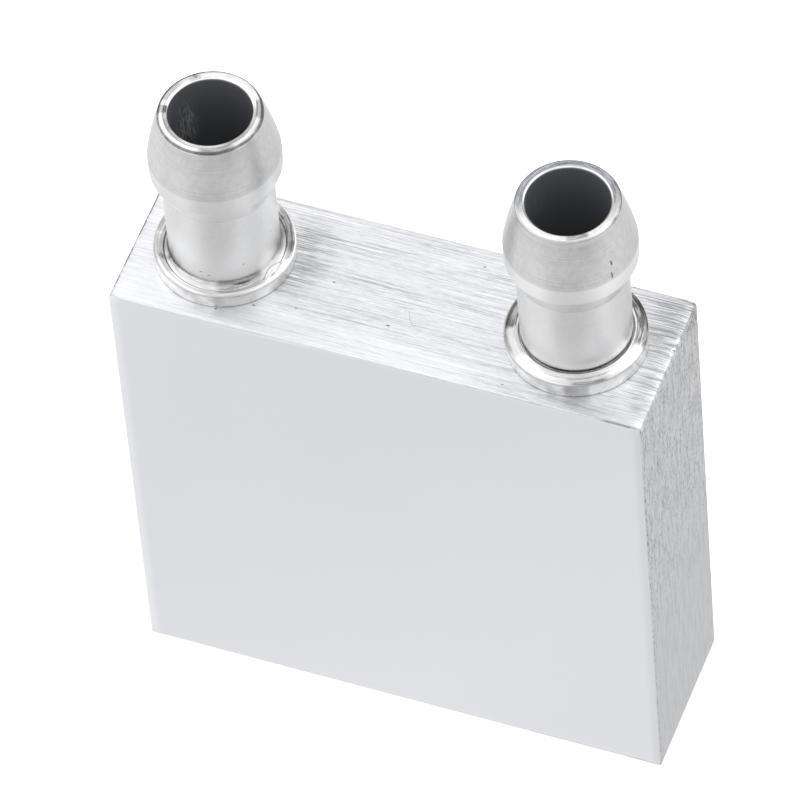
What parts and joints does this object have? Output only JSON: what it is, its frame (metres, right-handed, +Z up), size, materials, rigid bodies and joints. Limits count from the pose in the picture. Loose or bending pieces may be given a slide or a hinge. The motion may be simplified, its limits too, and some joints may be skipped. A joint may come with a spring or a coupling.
{
  "type": "liquid cooling cold plate",
  "caption": "Flat square aluminium water block, ribbed and hollow inside, with two parallel hose barbs standing on one narrow edge.",
  "frame": {"origin": "middle of the block's bottom face, on which the block stands", "axes": "+X along the block's width from the left barb to the right one, +Y through its thickness from the front face to the back, +Z up along the barbs"},
  "size_m": [0.04, 0.012, 0.0555],
  "materials": {
    "milled_aluminium": "smooth wide faces, narrow faces brushed by a sanding belt",
    "turned_aluminium": "satin, with fine turning lines round the barb"
  },
  "bodies": {
    "root": {"block_body": "milled_aluminium", "top_end_plate": "milled_aluminium", "bottom_end_plate": "milled_aluminium", "left_hose_barb": "turned_aluminium", "right_hose_barb": "turned_aluminium"}
  },
  "joints": []
}
